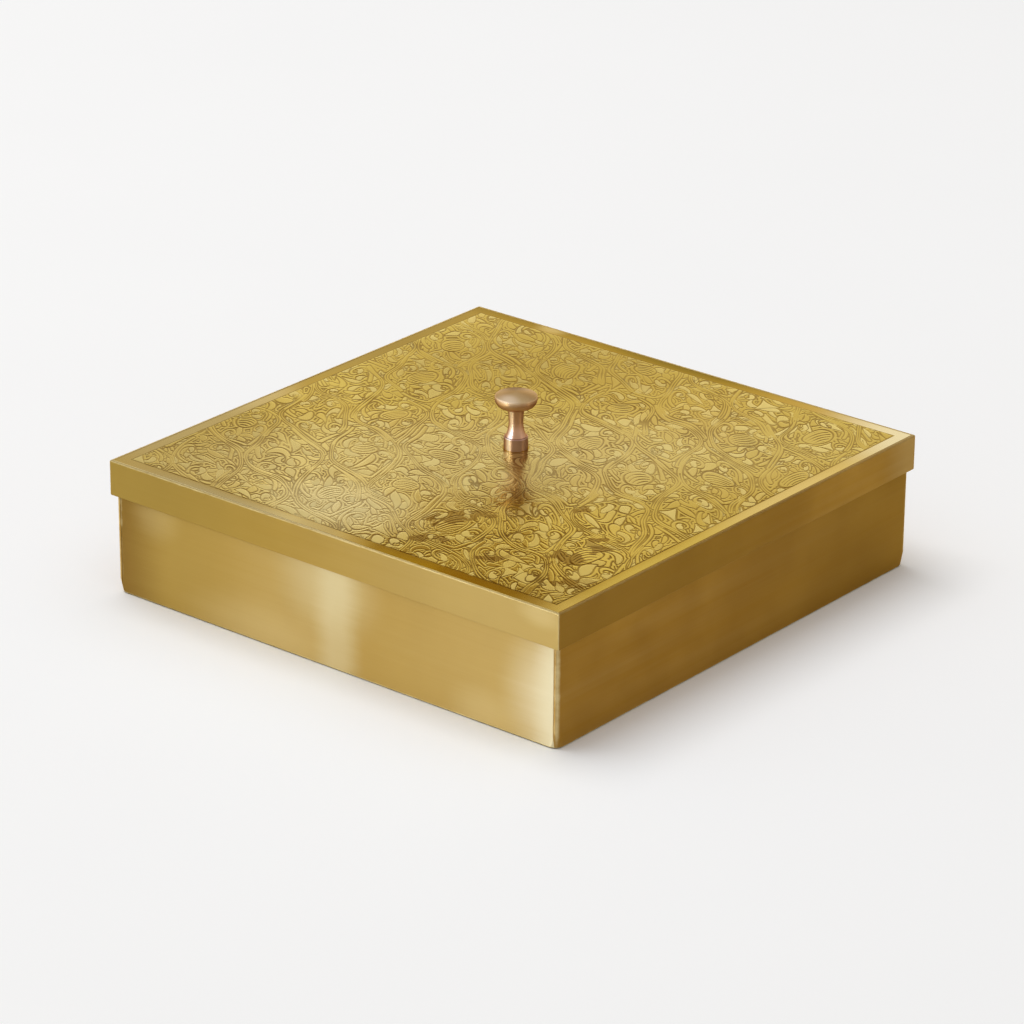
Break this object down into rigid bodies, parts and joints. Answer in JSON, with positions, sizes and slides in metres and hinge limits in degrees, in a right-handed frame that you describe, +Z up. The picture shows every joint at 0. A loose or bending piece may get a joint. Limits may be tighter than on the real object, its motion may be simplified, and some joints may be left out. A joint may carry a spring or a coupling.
{
  "type": "sweet box",
  "caption": "Square sheet-brass sweet box with an etched lift-off lid and a turned copper knob.",
  "frame": {"origin": "centre of the base's underside, on the surface that the box stands on", "axes": "+Z up through the knob; the front wall faces -Y and the right wall faces +X"},
  "size_m": [0.1906, 0.1906, 0.0674],
  "materials": {
    "brass_sheet": "satin, finely brushed along the sheets",
    "etched_brass": "polished, with an etched scrollwork field",
    "braze": "dull, as the torch leaves it",
    "copper": "satin copper, turned",
    "screw_steel": "plain bright steel"
  },
  "bodies": {
    "base": {"base_floor": "brass_sheet", "base_wall_front": "brass_sheet", "base_wall_back": "brass_sheet", "base_wall_left": "brass_sheet", "base_wall_right": "brass_sheet", "base_braze": "braze"},
    "lid": {"lid_panel": "etched_brass", "lid_skirt_front": "brass_sheet", "lid_skirt_back": "brass_sheet", "lid_skirt_left": "brass_sheet", "lid_skirt_right": "brass_sheet", "lid_braze": "braze", "knob_collar": "copper", "knob": "copper", "knob_washer": "brass_sheet", "knob_screw": "screw_steel"}
  },
  "joints": [
    {"name": "lid_lift", "type": "slide", "parent": "base", "child": "lid", "axis": [0, 0, 1], "range_m": [0, 0.08]}
  ]
}
